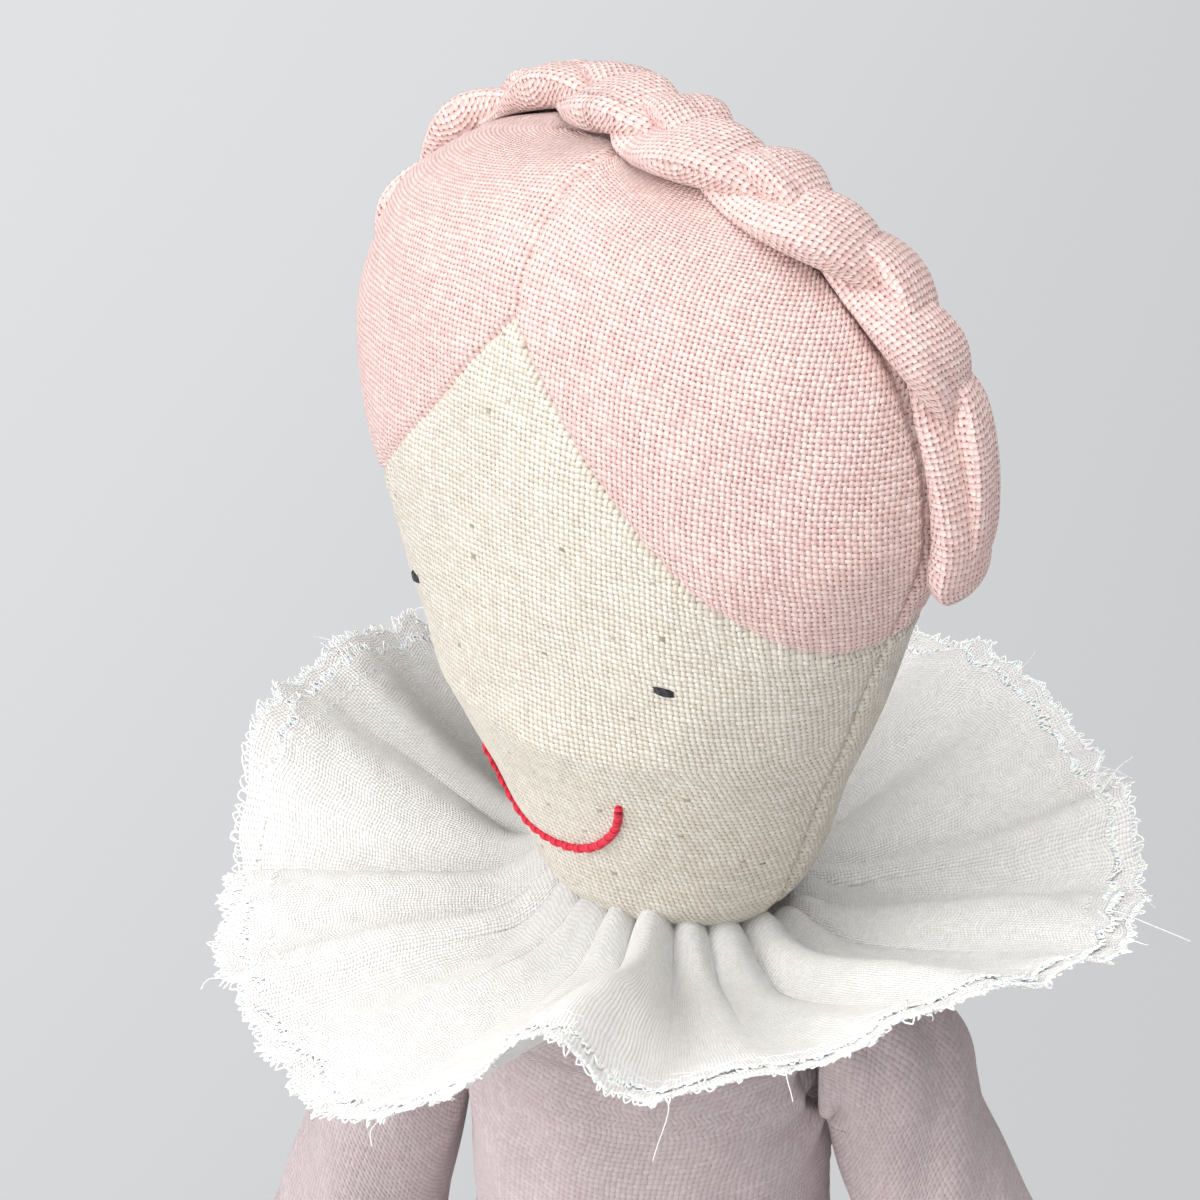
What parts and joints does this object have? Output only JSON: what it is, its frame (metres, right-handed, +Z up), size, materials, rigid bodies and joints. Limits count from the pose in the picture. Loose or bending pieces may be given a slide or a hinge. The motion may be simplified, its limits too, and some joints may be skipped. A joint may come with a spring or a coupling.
{
  "type": "rag doll",
  "caption": "Sewn linen rag doll sitting with legs outstretched, with a long face, a braid over the crown, a wide ruffled collar, a plain dress and limp limbs.",
  "frame": {"origin": "middle of the flat underside of the seat, on the surface the doll sits on", "axes": "+Z up, the doll faces -Y and its own left side is at +X"},
  "size_m": [0.1281, 0.2574, 0.2544],
  "materials": {
    "natural_linen": "plain woven natural linen, matt",
    "pink_linen": "plain woven dusty pink linen, matt",
    "mauve_linen": "washed grey mauve linen, matt",
    "white_cotton": "thin white cotton, matt",
    "stuffing": "polyester fibre filling",
    "black_thread": "embroidery thread, satin",
    "red_thread": "embroidery thread, satin",
    "shell_button": "polished shell, glossy"
  },
  "bodies": {
    "torso": {"torso": "natural_linen", "dress_front": "mauve_linen", "dress_back": "mauve_linen", "back_button": "shell_button", "collar_upper_ruffle": "white_cotton", "collar_lower_ruffle": "white_cotton", "collar_gathering_thread": "white_cotton"},
    "neck": {"neck": "natural_linen"},
    "head": {"head_stuffing": "stuffing", "face_panel": "natural_linen", "nape_panel": "natural_linen", "hair_panel_left": "pink_linen", "hair_panel_right": "pink_linen", "hair_panel_back": "pink_linen", "braid_strand_1": "pink_linen", "braid_strand_2": "pink_linen", "braid_strand_3": "pink_linen", "eye_stitch_left": "black_thread", "eye_stitch_right": "black_thread", "mouth_stitch": "red_thread"},
    "upper_arm_left": {"upper_arm_left": "natural_linen", "sleeve_left": "mauve_linen"},
    "forearm_left": {"forearm_left": "natural_linen"},
    "thigh_left": {"thigh_left": "natural_linen"},
    "lower_leg_left": {"lower_leg_left": "natural_linen"},
    "upper_arm_right": {"upper_arm_right": "natural_linen", "sleeve_right": "mauve_linen"},
    "forearm_right": {"forearm_right": "natural_linen"},
    "thigh_right": {"thigh_right": "natural_linen"},
    "lower_leg_right": {"lower_leg_right": "natural_linen"}
  },
  "joints": [
    {"name": "head_turn", "type": "hinge", "parent": "torso", "child": "neck", "pos_m": [0.003, 0, 0.1423], "axis": [0, 0, 1], "range_deg": [-30, 95]},
    {"name": "head_nod", "type": "hinge", "parent": "neck", "child": "head", "pos_m": [0.003, 0, 0.151], "axis": [0.829, -0.5592, 0], "range_deg": [-10, 10]},
    {"name": "shoulder_left_swing", "type": "hinge", "parent": "torso", "child": "upper_arm_left", "pos_m": [0.0284, 0, 0.132], "axis": [-1, 0, 0], "range_deg": [-45, 80]},
    {"name": "elbow_left_bend", "type": "hinge", "parent": "upper_arm_left", "child": "forearm_left", "pos_m": [0.04571, 0, 0.07874], "axis": [-0.9511, 0, -0.309], "range_deg": [-10, 100]},
    {"name": "shoulder_right_swing", "type": "hinge", "parent": "torso", "child": "upper_arm_right", "pos_m": [-0.0284, 0, 0.132], "axis": [-1, 0, 0], "range_deg": [-45, 80]},
    {"name": "elbow_right_bend", "type": "hinge", "parent": "upper_arm_right", "child": "forearm_right", "pos_m": [-0.04004, 0, 0.07722], "axis": [-0.9781, 0, 0.2079], "range_deg": [-10, 100]},
    {"name": "hip_left_bend", "type": "hinge", "parent": "torso", "child": "thigh_left", "pos_m": [0.014, -0.0143, 0.005], "axis": [0.9997, 0.0262, 0], "range_deg": [0, 90]},
    {"name": "knee_left_bend", "type": "hinge", "parent": "thigh_left", "child": "lower_leg_left", "pos_m": [0.01641, -0.10627, 0.0103], "axis": [0.9997, 0.0262, 0], "range_deg": [0, 100]},
    {"name": "hip_right_bend", "type": "hinge", "parent": "torso", "child": "thigh_right", "pos_m": [-0.014, -0.0143, 0.005], "axis": [0.9997, -0.0262, 0], "range_deg": [0, 90]},
    {"name": "knee_right_bend", "type": "hinge", "parent": "thigh_right", "child": "lower_leg_right", "pos_m": [-0.01641, -0.10627, 0.0103], "axis": [0.9997, -0.0262, 0], "range_deg": [0, 100]}
  ]
}
